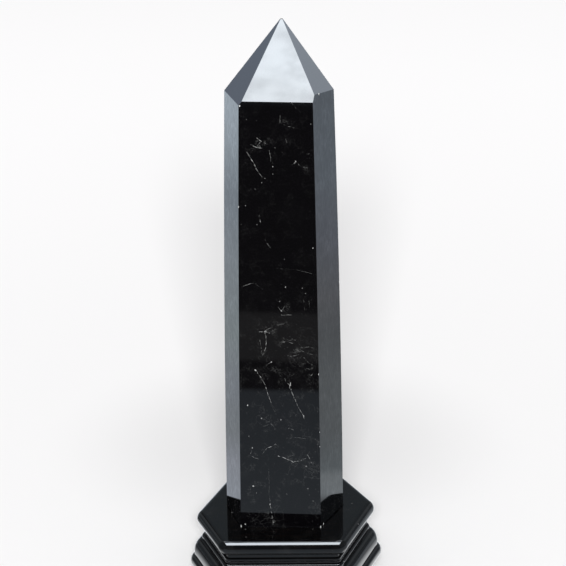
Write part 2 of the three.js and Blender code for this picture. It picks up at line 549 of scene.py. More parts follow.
# Marks on the front face are placed right of the middle of the crystal and above its foot, in
# millimetres. A healed crack is half its width, then each bend with its strength there.
FRONT_CRACKS = (
    (0.15, (-15.5, 185.5, 0.15), (-14, 183, 0.75), (-12, 179.5, 1), (-11, 177, 0.9)),
    (0.13, (-11, 177, 0.9), (-9, 174, 0.35), (-8, 172.5, 0.1)),
    (0.17, (-10.5, 191.5, 0.5), (-9.5, 190.5, 1), (-8, 189.5, 0.55), (-6, 188.5, 1)),
    (0.13, (-13.5, 188.5, 0.4), (-11, 187, 0.9), (-8, 186.5, 0.6)),
    (0.11, (-9, 189.5, 0.5), (-10.5, 187.5, 0.25)),
    (0.11, (-5, 185.5, 0.5), (-4.5, 182, 0.8), (-4.5, 180.5, 0.2)),
    (0.12, (0, 202, 0.1), (-0.2, 199.5, 0.4), (0, 198, 0.2)),
    (0.12, (1.5, 197.5, 0.1), (3.5, 197, 0.4), (6.5, 196, 0.3)),
    (0.11, (2, 191.5, 0.25), (3, 189, 0.2)),
    (0.15, (7, 181, 0.8), (6, 179.5, 0.6), (4.5, 178.5, 0.1)),
    (0.11, (7, 180, 0.4), (9, 178, 0.35), (12, 177.5, 0.25)),
    (0.12, (4.5, 208.5, 0.2), (6.5, 206, 0.15), (9, 203.5, 0.05)),
    (0.12, (-10, 155, 0.2), (-9.5, 152, 0.7)),
    (0.09, (-7.5, 143.5, 0.2), (-6.5, 141.5, 0.5), (-5, 139.5, 0.25)),
    (0.09, (-2.5, 129.5, 0.1), (6.5, 129, 0.3), (12, 127.5, 0.35), (15.5, 126.5, 0.6)),
    (0.16, (-18.2, 120.5, 0.8), (-16, 121.5, 0.6), (-13, 122.5, 0.2)),
    (0.11, (-12, 122, 0.4), (-9, 119.5, 0.2)),
    (0.11, (-2, 111, 0.3), (-0.5, 108.5, 0.8), (1, 111.5, 0.3)),
    (0.13, (-1, 107, 0.4), (1.5, 106.8, 0.7), (4, 107, 0.25)),
    (0.13, (-2.5, 102, 0.2), (0.5, 102.5, 0.5), (1.5, 103.5, 0.3)),
    (0.09, (9.5, 115, 0.1), (10, 109, 0.35)),
    (0.09, (12, 114, 0.2), (12.5, 109.5, 0.3)),
    (0.15, (-11, 98.5, 0.5), (-8.5, 98.8, 1), (-6, 98, 0.6)),
    (0.12, (-9, 98.5, 0.5), (-6.5, 100, 0.5), (-4.5, 101, 0.3)),
    (0.12, (-8.2, 98.5, 0.9), (-7.6, 94.5, 0.6), (-7.7, 91.5, 0.9), (-9, 87.5, 0.35)),
    (0.11, (-10.5, 94.5, 0.35), (-9.5, 87, 0.35)),
    (0.15, (-1.5, 93.5, 0.2), (1.5, 94, 1), (4.5, 93, 0.4)),
    (0.09, (0, 95.5, 0.3), (3, 94.5, 0.4), (5.5, 94.8, 0.1)),
    (0.09, (7.5, 92.5, 0.3), (9, 90.5, 0.5), (11.5, 91.5, 0.4), (13.5, 91, 0.3)),
    (0.09, (8.5, 89.5, 0.3), (10.5, 88.5, 0.45), (13.5, 87.5, 0.5)),
    (0.11, (2, 87, 0.45), (4, 86.5, 0.3), (7, 87.5, 0.4)),
    (0.09, (4.5, 90.5, 0.2), (6, 88, 0.4), (7, 87.5, 0.2)),
    (0.09, (9.5, 86, 0.3), (11.5, 83.5, 0.5), (14, 82, 0.35)),
    (0.09, (10.5, 81, 0.3), (12, 80, 0.5), (13.5, 81, 0.3)),
    (0.13, (-8, 82, 0.25), (-6.5, 83, 0.3), (-5.4, 83.8, 1)),
    (0.18, (-14, 80.5, 0.3), (-12.5, 79.5, 1), (-11, 77, 0.7)),
    (0.13, (-12, 78.5, 0.7), (-10.5, 76.5, 0.9), (-8.5, 72.5, 1), (-7.5, 68.5, 0.9)),
    (0.11, (-7.5, 68.5, 0.9), (-6.5, 65.5, 0.6), (-5.5, 62.5, 0.2), (-3.5, 57.5, 0.3)),
    (0.1, (0.5, 75.5, 0.25), (1.5, 73.5, 0.5), (3, 72, 0.9)),
    (0.2, (3.2, 73.5, 0.9), (2.8, 71, 1)),
    (0.11, (3.2, 70.5, 0.8), (5, 65.5, 0.8), (6.5, 61.5, 0.45), (9, 57, 0.8)),
    (0.15, (9, 57.2, 0.8), (9.3, 55.5, 0.6)),
    (0.1, (11.5, 78, 0.3), (12.5, 77, 0.7), (13.5, 78.5, 0.3)),
    (0.09, (-12.5, 54, 0.3), (-9, 51.5, 0.25), (-6, 53, 0.35), (-4, 50, 0.2)),
    (0.1, (0.5, 50, 0.3), (2.5, 50.8, 0.4), (4.5, 49.5, 0.2)),
    (0.09, (0.5, 45.5, 0.15), (5, 46, 0.35), (10.5, 45.5, 0.15)),
    (0.12, (-14.6, 41.5, 0.5), (-15.8, 37, 0.45), (-14, 35.5, 0.35), (-12, 35, 0.6)),
    (0.13, (-10.5, 37, 0.3), (-8, 40.5, 0.6), (-5.5, 41.5, 0.9), (-4, 42.5, 0.6)),
    (0.16, (-3, 36.5, 0.8), (-1, 36, 0.7), (2.5, 34.5, 1), (4, 33.5, 0.9)),
    (0.12, (4, 33.5, 0.9), (6.5, 34, 0.7), (10, 35.5, 0.5), (11.5, 39, 0.35)),
    (0.12, (11, 37, 0.4), (12.5, 33, 0.5)),
    (0.09, (-7.4, 30, 0.15), (-7.2, 23, 0.3), (-7.4, 16.5, 0.05)),
    (0.11, (-14.5, 21, 0.8), (-12.5, 21.8, 0.4), (-10.5, 21.5, 0.35)),
    (0.11, (-7.2, 16, 0.2), (-6.8, 11.5, 1), (-6.2, 6.5, 0.4), (-5.5, 2, 0.6)),
    (0.1, (-6.5, 4.5, 0.3), (-4.5, 3, 0.5), (-6, 1.5, 0.4)),
)

# Bright sparks: place, size and strength.
FRONT_SPARKS = (
    (-15, 200, 0.2, 0.4), (13.5, 198, 0.24, 0.56), (-2.5, 187, 0.24, 0.32),
    (-3.6, 178, 0.28, 0.64), (-3.6, 174.5, 0.24, 0.4), (-7.2, 172.5, 0.24, 0.4),
    (-8.6, 170.5, 0.28, 0.4), (-11.7, 167.5, 0.24, 0.32), (6.6, 180.5, 0.36, 0.8),
    (12.6, 184, 0.24, 0.32), (-16, 159.5, 0.28, 0.56), (-9.5, 152, 0.32, 0.64),
    (-11, 150.5, 0.24, 0.32), (14, 139.5, 0.36, 0.8), (1, 134, 0.24, 0.32),
    (1.5, 120.5, 0.48, 0.48), (9, 120, 0.28, 0.48), (10.5, 117.5, 0.24, 0.48),
    (-1.3, 113.5, 0.28, 0.4), (-0.5, 108.8, 0.32, 0.72), (-5.4, 83.8, 0.36, 0.8),
    (-12.8, 79.5, 0.56, 0.72), (3, 72.3, 0.52, 0.8), (-16.6, 62, 0.44, 0.8),
    (9.1, 57, 0.32, 0.8), (-1.4, 55, 0.36, 0.4), (-10.3, 55.5, 0.4, 0.48),
    (-16.3, 46.5, 0.28, 0.4), (-14.6, 40.5, 0.28, 0.64), (-3.9, 42.5, 0.28, 0.56),
    (10, 31.5, 0.4, 0.48), (-14.7, 21, 0.4, 0.8), (-13.2, 17.5, 0.24, 0.4),
    (0.8, 17, 0.24, 0.32), (10.7, 20, 0.28, 0.32), (13, 13.5, 0.28, 0.32),
    (-6.9, 11.7, 0.4, 0.8), (-5.5, 2.5, 0.4, 0.56),
)

# Clouds of fine cracks and bubbles: place, half width, half height and strength.
FRONT_CLOUDS = (
    (-9.5, 188.5, 8, 5.2, 0.23), (-4.5, 183, 2.9, 4.6, 0.25), (2.5, 190, 2.9, 2.9, 0.09),
    (12.5, 181, 4.6, 7.5, 0.14), (-11.5, 168, 4.6, 3.4, 0.11), (-14, 179, 4.6, 4.6, 0.07),
    (1, 197.5, 5.8, 4.6, 0.07), (-0.5, 111, 4.6, 6.3, 0.2), (0, 102.5, 5.8, 2.9, 0.18),
    (10.5, 112, 4.6, 5.8, 0.11), (-7, 100, 5.8, 4, 0.2), (-9, 92, 3.4, 7.5, 0.11),
    (2.5, 94, 6.9, 4, 0.18), (9.5, 86.5, 8, 9.2, 0.23), (-6, 77, 10.3, 6.9, 0.1),
    (12, 74, 4.6, 5.8, 0.14), (-9, 53, 9.2, 5.8, 0.16), (2.5, 52, 5.8, 6.9, 0.1),
    (-12, 38, 6.9, 6.9, 0.11), (6, 35, 10.3, 5.8, 0.14), (-12, 20, 5.8, 4.6, 0.09),
    (-6, 5, 4.6, 6.9, 0.16),
)

HAIRLINE_WIDTH = 0.88  # how wide the healed cracks are, as a share of the widths in their table
SPARK_HALF_WIDTH, SPARK_HALF_HEIGHT = 0.74, 0.92  # as shares of a spark's size
BUBBLE_STRENGTH = 1.7  # how much brighter bubbles are than the fine cracks around them
QUARTZ_IOR = 1.544
LACQUER_IOR = 1.5


def on_front(right, up):
    """A place on the front face, flattened on to the plane that its marks are drawn in."""
    return Vector((CRYSTAL_MIDDLE.x + right * MM, 0, BOARD_TOP + up * MM))


def hairline_masks(w, flat):
    """Every stretch of every healed crack, folded one at a time into one mask."""
    strongest = 0.0
    for half_width, *bends in FRONT_CRACKS:
        for (x1, z1, level), (x2, z2, next_level) in zip(bends, bends[1:]):
            start = on_front(x1, z1)
            along = on_front(x2, z2) - start
            run = (start, along, along / along.length_squared)
            width = HAIRLINE_WIDTH * half_width * MM
            hairline = group_node(w, "hairline", flat, *run, width, level, next_level - level)
            strongest = w.larger(strongest, hairline["Mask"])
    return strongest


def patch_masks(w, flat, patches):
    """Soft ovals, folded one at a time into one mask."""
    strongest = 0.0
    for right, up, half_width, half_height, level in patches:
        one_over_size = (1 / (half_width * MM), 0, 1 / (half_height * MM))
        patch = group_node(w, "patch", flat, on_front(right, up), one_over_size, level)
        strongest = w.larger(strongest, patch["Mask"])
    return strongest


def front_marks(w, place):
    """The healed cracks, sparks and clouds of fine cracks of the front face, as one mask."""
    upright = w.vector("MULTIPLY", place, (1, 0, 1))
    shaken = w.vector("ADD", upright, w.wobble(upright, 900.0, 2.0, 0.8 * MM))
    flat = w.vector("MULTIPLY", shaken, (1, 0, 1))
    beads = w.ramp(w.noise(upright, 780.0, 3.0, 0.65), 0.45, 0.60, 0.03, 1.05)
    hairlines = w.times(hairline_masks(w, flat), beads)
    sparks = [
        (right, up, SPARK_HALF_WIDTH * size, SPARK_HALF_HEIGHT * size, level)
        for right, up, size, level in FRONT_SPARKS
    ]
    sparks = patch_masks(w, flat, sparks)
    fine_web = web(w, place, 460.0, 0.06, 0.52)
    bubbles = flecks(w, place, 900.0, 0.30, 0.45)
    fine = w.larger(fine_web, w.times(bubbles, BUBBLE_STRENGTH))
    drift = w.ramp(w.noise(upright, 260.0, 3.0, 0.6), 0.38, 0.66)
    clouds = w.times(w.times(patch_masks(w, flat, FRONT_CLOUDS), drift), fine)
    marks = w.larger(w.larger(hairlines, sparks), clouds)
    return w.times(marks, w.math("LESS_THAN", w.axis(place, "Y"), CRYSTAL_MIDDLE.y))


def satin_grain(w, place):
    """The fine upright grain that the narrower side faces keep from their grinding."""
    lie = w.stretched(place, (1, 1, 0.35))
    grain = w.ramp(w.noise(lie, 900.0, 4.0, 0.7), 0.36, 0.66)
    patches = w.ramp(w.noise(place, 110.0, 4.0, 0.6), 0.30, 0.70, 0.25, 1.0)
    side = w.node("ShaderNodeAttribute", attribute_name="side").outputs["Fac"]
    return w.times(w.times(grain, patches), side)


def morion_finish(settings):
    """Polished black quartz: a hard clear gloss over near black, with pale veils just below it."""
    material, w, place = new_material("polished_morion")
    lower = w.ramp(w.axis(place, "Z"), 0.16, 0.07)
    coarse = w.times(web(w, place, 130.0, 0.018, 0.50), 0.40)
    cracks = w.larger(coarse, w.times(web(w, place, 360.0, 0.045, 0.48), 0.55))
    cracks = w.times(w.times(cracks, w.at_least(0.25, lower)), settings.veil_strength)
    cloud = w.ramp(w.noise(place, 70.0, 6.0, 0.62, 0.6), 0.52, 0.80, 0.0, 0.006)
    cloud = w.times(cloud, w.at_least(0.3, lower))
    specks = w.times(flecks(w, place, 260.0, 0.08, 0.16), 0.30)
    dots = w.times(flecks(w, place, 750.0, 0.22, 0.30), 0.11)
    specks = w.larger(specks, w.times(dots, w.at_least(0.4, lower)))
    veils = w.larger(w.larger(front_marks(w, place), cracks), specks)
    veils = w.math("MINIMUM", w.math("ADD", veils, cloud), 1.0)
    polish = group_node(w, "polish", place, 0.5, 0.02)
    rough = settings.polish
    tone = w.mix(w.noise(place, 30.0, 3.0), solid(settings.body), solid(settings.body, 0.45))
    inputs = {
        "Base Color": w.mix(veils, tone, solid(settings.veil)),
        "Roughness": w.ramp(polish["Haze"], 0.35, 0.75, rough, rough * 2.5),
        "IOR": QUARTZ_IOR,
        "Coat Weight": w.times(satin_grain(w, place), settings.grain),
        "Coat Roughness": 0.06,
        "Coat IOR": 1.5,
        "Normal": w.bump(polish["Height"], 0.35, 0.05 * MM),
    }
    show(w, "ShaderNodeBsdfPrincipled", inputs)
    return material


def chip_finish(settings):
    """The frosty face of a small chip, where the polish is gone."""
    material, w, place = new_material("chipped_morion")
    grain = w.noise(place, 2600.0, 4.0, 0.6)
    inputs = {
        "Base Color": w.mix(grain, solid(settings.chipped, 0.25), solid(settings.chipped)),
        "Roughness": w.ramp(grain, 0.3, 0.7, 0.10, 0.32),
        "IOR": QUARTZ_IOR,
        "Normal": w.bump(grain, 0.6, 0.15 * MM),
    }
    show(w, "ShaderNodeBsdfPrincipled", inputs)
    return material


def lacquer_finish(settings, name, dustiness):
    """Black gloss lacquer on carved wood: slightly wavy, dusty in places, thin over the grain."""
    material, w, place = new_material(name)
    grain = w.noise(w.stretched(place, (0.10, 1, 1)), 1500.0, 4.0, 0.6, 0.3)
    bare = w.ramp(grain, 0.45, 0.75, 0.0, 0.05)
    tone = w.mix(bare, solid(settings.lacquer), solid(settings.wood))
    dust = flecks(w, place, 420.0, 0.16, dustiness)
    film = w.ramp(w.noise(place, 90.0, 5.0, 0.6), 0.50, 0.85, 0.0, 0.02)
    dusty = w.math("MINIMUM", w.math("ADD", dust, film), 1.0)
    peel = w.math("MULTIPLY_ADD", w.noise(place, 330.0, 2.0), 0.55, w.noise(place, 60.0, 1.0))
    peel = w.math("MULTIPLY_ADD", grain, 0.10, peel)
    rough = settings.gloss
    wear = w.ramp(w.noise(place, 140.0, 5.0, 0.6), 0.40, 0.75, rough, rough * 2.6)
    inputs = {
        "Base Color": w.mix(dusty, tone, solid(settings.dust)),
        "Roughness": w.math("MULTIPLY_ADD", dust, 0.4, wear),
        "IOR": LACQUER_IOR,
        "Normal": w.bump(peel, 0.30, 0.10 * MM),
    }
    show(w, "ShaderNodeBsdfPrincipled", inputs)
    return material


def give(piece, material):
    piece.data.materials.clear()
    piece.data.materials.append(material)


# ---------------------------------------------------------------- the crystal

PRISM_SECTIONS_END = 205.0  # millimetres above the board's top, just under the lowest facet
SECTION_COUNT = 11  # sections taken up the prism, so that its polished faces swell smoothly

# Chips on the edges: height above the board's top in millimetres, which edge, anticlockwise from
# the left front, how far towards the next edge, and size as a share of the largest.
EDGE_CHIPS = (
    (0.3, 0, 0, 0.8), (1.3, 0, 0.06, 0.26), (0.3, 1, 0, 0.7), (0.6, 1, 0.12, 0.42),
    (158.8, 0, 0, 0.5), (77.9, 1, 0, 0.5), (48.8, 1, 0, 0.36), (41.5, 1, 0, 0.3),
    (206.3, 0, 0.02, 0.32), (210, 1, 0.3, 0.55), (0.4, 5, 0.36, 0.26), (114, 2, 0, 0.45),
    (178.5, 3, 0, 0.55), (64, 4, 0, 0.7), (0.4, 3, 0, 0.9), (141, 5, 0, 0.32),
)

CHIP_OFFSET = 0.62  # how far outside its edge a chip's ball is centred, as a share of its radius
CHIP_LUMPS = 0.10  # how lumpy the ball is, as a share of its radius
FACET_SLOPES = (0.2, 0.95)  # the upward part of the normals of the point's facets
SMALLEST_FACET = 2 * MM * MM
SAME_FACET = 0.9999  # the cosine between the normals of two faces of one facet is above this
ARRIS_ANGLE = math.radians(8)  # real edges turn by more, the slight folds between sections by less
POINT_OVERRUN = 2 * MM  # how far the prism runs past the tip before its point is cut


def point_facets():
    """The planes of the six facets of the crystal's point: a place on each and its normal."""
    planes = []
    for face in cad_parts["crystal"].data.polygons:
        sloping = FACET_SLOPES[0] < face.normal.z < FACET_SLOPES[1] and face.area > SMALLEST_FACET
        if sloping and all(face.normal.dot(normal) < SAME_FACET for _, normal in planes):
            planes.append((face.center.copy(), face.normal.copy()))
    return planes


def prism_sections(low, high):
    """Six-cornered sections up the prism, the last carried straight on to above the point."""
    sections = []
    for i in range(SECTION_COUNT):
        height = low + (high - low) * i / (SECTION_COUNT - 1)
        corners = plan_corners("crystal", max(height, low + JUST_ABOVE))
        sections.append([Vector((p.x, p.y, height)) for p in corners])
    if any(len(section) != 6 for section in sections):
        raise RuntimeError("the crystal's section isn't a hexagon")
    past = (CRYSTAL_BOX[1].z + POINT_OVERRUN - high) / (high - sections[-2][0].z)
    sections.append([b.lerp(a, -past) for a, b in zip(sections[-2], sections[-1])])
    return sections


def on_prism(sections, height, edge):
    """Where an upright edge of the prism reaches a height."""
    above = next(i for i, section in enumerate(sections) if section[0].z > height)
    low, high = sections[above - 1][edge], sections[above][edge]
    return low.lerp(high, (height - low.z) / (high.z - low.z))


def cut_point(crystal, planes):
    """Cuts the facets of the point off the prism and blunts the tip."""
    activate(crystal)
    bpy.ops.object.mode_set(mode="EDIT")
    tip = Vector((0, 0, CRYSTAL_BOX[1].z))
    for place, normal in (*planes, (tip, Vector((0, 0, 1)))):
        bpy.ops.mesh.select_all(action="SELECT")
        bpy.ops.mesh.bisect(
            plane_co=place, plane_no=normal, use_fill=True, clear_outer=True, threshold=FINE_WELD
        )
    close_mesh(WELD)


def chip_cutter(sections, settings, material):
    """All the chips as one mesh of lumpy balls, each just biting into its edge."""
    deselect()
    balls = []
    for rise, edge, onward, size in EDGE_CHIPS:
        height = BOARD_TOP + rise * MM
        place = on_prism(sections, height, edge)
        place = place.lerp(on_prism(sections, height, (edge + 1) % 6), onward)
        radius = settings.chip * size
        away = place - CRYSTAL_MIDDLE
        out = Vector((away.x, away.y, 0)).normalized() * radius * CHIP_OFFSET
        bpy.ops.mesh.primitive_ico_sphere_add(subdivisions=3, radius=radius, location=place + out)
        ball = bpy.context.object
        ball.scale = (1.0, 0.8, 1.15)
        bpy.ops.object.transform_apply(location=True, rotation=True, scale=True)
        for vertex in ball.data.vertices:
            wave = math.sin(vertex.co.x * 4100 + edge) * math.sin(vertex.co.z * 3300 + rise)
            vertex.co += (vertex.co - place - out) * CHIP_LUMPS * wave
        balls.append(ball)
    for ball in balls:
        ball.select_set(True)
    bpy.context.view_layer.objects.active = balls[0]
    bpy.ops.object.join()
    cutter = bpy.context.object
    give(cutter, material)
    return cutter


def mark_sides(crystal):
    """Notes which faces belong to the narrower upright sides, where the grain shows."""
    side = crystal.data.attributes.new("side", "FLOAT", "FACE")
    for face, value in zip(crystal.data.polygons, side.data):
        value.value = float(abs(face.normal.x) > 0.5 and abs(face.normal.z) < 0.3)


def is_arris(edge):
    """True for the crystal's real edges."""
    return len(edge.link_faces) == 2 and edge.calc_face_angle() > ARRIS_ANGLE


class MORION_OT_crystal(bpy.types.Operator):
    """Models the six-sided quartz point with softened edges and small chips, and polishes it"""

    bl_idname = "morion.crystal"
    bl_label = "Quartz point"

    def execute(self, context):
        settings = context.scene.morion_crystal
        planes = point_facets()
        if len(planes) != 6:
            raise RuntimeError("the crystal's point doesn't have six facets")
        sections = prism_sections(CRYSTAL_BOX[0].z, BOARD_TOP + PRISM_SECTIONS_END * MM)
        crystal = loft("crystal_polished", sections)
        cut_point(crystal, planes)
        bevel_edges(crystal, settings.arris, 3, is_arris)
        give(crystal, morion_finish(settings))
        cut_away(crystal, chip_cutter(sections, settings, chip_finish(settings)))
        soften(crystal)
        mark_sides(crystal)
        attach(crystal, "root")
        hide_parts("crystal")
        return {"FINISHED"}


# ---------------------------------------------------------------- the stand

# Mouldings from the floor up, in millimetres: the height above the floor of the bottom and the
# top, how far it reaches past the top board's widest outline, and its rounded nose: how wide it
# is, and how high its lower and upper quarter rounds are.
MOULDINGS = (
    (0, 7, 3.57, (3.48, 3.3, 3.3)),  # lower board
    (3.1, 14.6, 1.8, (4.2, 4.9, 6.6)),  # torus
    (14.2, 17, -2.1, (0.9, 0.9, 0.9)),  # fillet
    (17, 18.3, -3.3, (0.4, 0.4, 0.4)),  # lower bead
    (18.3, 19.6, -3.3, (0.4, 0.4, 0.4)),  # upper bead
    (19.6, 21.7, -4.2, (0, 0, 0)),  # neck
)
NOSE_STEPS = 8  # steps of each quarter round of a moulding
BOARD_STEPS = 28  # steps of the half round edge of the top board


def nose_profile(bottom, top, reach, nose):
    """Points of reach and height up the outside of one moulding, its nose two quarter rounds."""
    out, below, above = nose
    if out == 0:
        return [(reach, bottom), (reach, top)]
    turns = [math.pi / 2 * k / NOSE_STEPS for k in range(NOSE_STEPS + 1)]
    lower = [(reach - out * (1 - math.sin(t)), bottom + below * (1 - math.cos(t))) for t in turns]
    upper = [(reach - out * (1 - math.cos(t)), top - above * (1 - math.sin(t))) for t in turns]
    return lower + upper


def base_profile():
    """The outside of the base from the floor up, without what one moulding hides of the next."""
    profile = nose_profile(*MOULDINGS[0])
    for (_, level, _, _), moulding in zip(MOULDINGS, MOULDINGS[1:]):
        points = nose_profile(*moulding)
        first = next(i for i, (_, height) in enumerate(points) if height > level)
        if first:
            (low_reach, low), (high_reach, high) = points[first - 1 : first + 1]
            cut = low_reach + (high_reach - low_reach) * (level - low) / (high - low)
            points = [(cut, level), *points[first:]]
        profile += points
    return profile


def board_corners():
    """Sharp corners of the top board's widest outline."""
    middle = (BOARD_BOX[0].z + BOARD_BOX[1].z) / 2
    return straight_corners(plan_corners("stand_top_board", middle, least_turn=1.0))


class MORION_OT_top_board(bpy.types.Operator):
    """Models the stand's top board with its rounded edge and the seat for the crystal"""

    bl_idname = "morion.top_board"
    bl_label = "Stand top board"

    def execute(self, context):
        settings = context.scene.morion_stand
        low, high = BOARD_BOX[0].z, BOARD_BOX[1].z
        half = (high - low) / 2
        corners = board_corners()
        rings = []
        for k in range(BOARD_STEPS + 1):
            turn = math.pi * (k / BOARD_STEPS - 0.5)
            reach = settings.nose * (math.cos(turn) - 1)
            height = low + half * (1 + math.sin(turn))
            rings.append(rounded_ring(corners, reach, height, settings.corner_round))
        board = loft("stand_top_board_lacquered", rings)
        foot = plan_corners("crystal", CRYSTAL_BOX[0].z + JUST_ABOVE)
        foot = offset_corners(foot, CLEARANCE)
        levels = (CRYSTAL_BOX[0].z - CLEARANCE, high + 5 * MM)
        cutter = loft("seat", [[Vector((p.x, p.y, z)) for p in foot] for z in levels])
        lacquer = lacquer_finish(settings, "black_lacquer_board", 0.10)
        give(board, lacquer)
        give(cutter, lacquer)
        cut_away(board, cutter)

        def around_seat(edge):
            ends = [v.co for v in edge.verts]
            if any(abs(p.z - high) > WELD for p in ends):
                return False
            return all(min((p.xy - q).length for q in foot) < 10 * WELD for p in ends)

        bevel_edges(board, settings.seat_round, 3, around_seat)
        soften(board)
        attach(board, "root")
        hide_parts("stand_top_board")
        return {"FINISHED"}


class MORION_OT_base(bpy.types.Operator):
    """Models the stepped mouldings under the top board, down to the floor"""

    bl_idname = "morion.base"
    bl_label = "Stand mouldings"

    def execute(self, context):
        settings = context.scene.morion_stand
        corners, radius = board_corners(), settings.corner_round
        profile = [(reach * MM, FLOOR + height * MM) for reach, height in base_profile()]
        rings = [rounded_ring(corners, reach, height, radius) for reach, height in profile]
        base = loft("stand_mouldings_lacquered", rings)
        give(base, lacquer_finish(settings, "black_lacquer_mouldings", 0.16))
        soften(base)
        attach(base, "root")
        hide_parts("stand_moulded_base")
        return {"FINISHED"}


# ---------------------------------------------------------------- the stage


def grey(level, blue=1.0):
    """A near grey, a little bluer or warmer."""
    return (level * (2 - blue), level, level * blue)


TABLE_REACH = 0.8  # metres from the middle of the table to its far edge
TABLE_WIDTH = 2.4
TABLE_RISE = 0.5 * MM  # how far it lies above the floor
TABLE_STRENGTH = 2.0

# Brightness of the table in reflections, as a share of its strength, by metres from the point:
# behind it on the left and on the right, beside it, and in front, a near sheet and a far strip.
TABLE_LEFT = (
    (0, (0.44, 0.5, 0.56)), (0.13, (0.357, 0.38, 0.43)), (0.17, (0.27, 0.295, 0.32)),
    (0.23, (0.31, 0.34, 0.38)), (0.3, (0.32, 0.365, 0.385)), (0.42, (0.355, 0.4, 0.445)),
    (0.54, (0.325, 0.375, 0.43)), (0.62, (0.46, 0.53, 0.6)), (0.7, (0.59, 0.68, 0.77)),
)
TABLE_RIGHT = (
    (0, (0.37, 0.405, 0.44)), (0.115, (0.37, 0.405, 0.43)), (0.126, (0.24, 0.27, 0.29)),
    (0.17, (0.225, 0.245, 0.26)), (0.23, (0.23, 0.25, 0.265)), (0.3, (0.2, 0.215, 0.23)),
    (0.36, (0.225, 0.235, 0.255)), (0.47, (0.245, 0.265, 0.31)), (0.6, (0.27, 0.31, 0.36)),
)
TABLE_BESIDE = (
    (0, grey(1, 1.02)), (0.052, grey(0.84, 1.02)), (0.062, grey(0.54, 1.04)),
    (0.078, grey(0.26, 1.06)), (0.105, grey(0.12, 1.08)), (0.125, grey(0.06, 1.1)),
    (0.8, grey(0.06, 1.1)),
)
TABLE_FRONT = (
    (0, grey(0.27, 1.13)), (0.245, grey(0.17, 1.13)), (0.25, grey(0.025)), (0.288, grey(0.025)),
    (0.292, grey(0.095)), (0.364, grey(0.095)), (0.368, grey(0.025)), (0.8, grey(0.02)),
)

WALL = (0.30, 0.335, 0.36)
DARK_ROOM = (0.05, 0.055, 0.06)

# Plain cards around the object: name, centre from the middle of the floor, size, which way it
# faces, and its colour. The walls are what the sides of the mouldings mirror.
ROOM_CARDS = (
    ("left_wall", (-0.9, 1.05, 0.25), (0.48, 3.1), (1, 0, 0), WALL),
    ("right_wall", (0.9, 1.05, 0.25), (0.48, 3.1), (-1, 0, 0), WALL),
    # painted shade: a dark card above the left wall that darkens what the mouldings mirror there
    ("dark_shade_card", (-0.8, 1.26, 0.77), (0.4, 0.26), (0.5, -0.86, 0), DARK_ROOM),
    ("dark_room", (0, -1.6, 0.8), (3, 1.58), (0, 1, 0), DARK_ROOM),
)

# The overhead lamp's edges and height, and its brightness by metres from its front edge.
LAMP_FRONT, LAMP_BACK, LAMP_WIDTH, LAMP_HEIGHT = -0.26, 0.34, 0.5, 0.417
LAMP_POWER = 18.0
LAMP_LEVELS = (
    (0, grey(0.6, 1.04)), (0.03, grey(0.9, 1.06)), (0.06, grey(0.99, 1.07)),
    (0.285, grey(0.98, 1.07)), (0.295, grey(0.1, 1.05)), (0.38, grey(0.2, 1.05)),
    (0.6, grey(0.05, 1.05)),
)

# Which way each side facet of the point mirrors, and the colours low and high on what it sees.
POINT_CARDS = (
    ("left_card", (-0.66, 0.73, 0.174), (0.78, 0.91, 1.14), (0.88, 1.04, 1.30)),
    ("right_card", (0.83, 0.50, 0.242), (1.50, 1.68, 1.92), (1.72, 1.92, 2.24)),
)
POINT_CARD_WAY = 0.12  # metres from the point to each of its cards
POINT_CARD_SIZE = 0.11
POINT_CARD_FADE = 0.03  # half the height over which its colour changes

# The world's colour and level to the eye, as an even sky for the floor, and in reflections.
WORLD_SEEN = ((0.965, 0.965, 0.97), 1.0)
WORLD_SKY = ((0.99, 0.99, 1.0), 0.61)
WORLD_ROOM = ((0.14, 0.165, 0.185), 1.0)

FLOOR_MOTTLE = 0.985  # the floor's darkest mottling, as a share of its colour
FLOOR_NEAR_SHADE = 0.872  # painted shade: the floor near the stand, darkened to this share of its colour
FLOOR_SHADE = (0, 0.135, 0)  # the middle of the soft shade behind the stand


def reflected_card(name, centre, size, facing=(0, 0, 1)):
    """A flat card that only the polish sees. Returns its wiring and its coordinates."""
    card = added(name, bpy.ops.mesh.primitive_plane_add, size=1)
    turn = Vector(facing).to_track_quat("Z", "Y")
    card.data.transform(Matrix.LocRotScale(Vector(centre), turn, Vector((*size, 1))))
    material, w, place = new_material(name)
    give(card, material)
    for ray in ("camera", "diffuse", "transmission", "volume_scatter", "shadow"):
        setattr(card, "visible_" + ray, False)
    return w, place


def glow(w, rgb, strength=1.0):
    """Finishes a card's material: its colour, and how bright it is."""
    show(w, "ShaderNodeEmission", {"Color": rgb, "Strength": strength})


def gradient(w, value, reach, stops):
    """A colour that changes along a value, from stops of the value and a colour."""
    node = w.node("ShaderNodeValToRGB", {"Fac": w.math("DIVIDE", value, reach)})
    ramp = node.color_ramp
    ramp.interpolation = "LINEAR"
    while len(ramp.elements) < len(stops):
        ramp.elements.new(0.5)
    for element, (at, rgb) in zip(ramp.elements, stops):
        element.position = at / reach
        element.color = solid(rgb)
    return node.outputs["Color"]


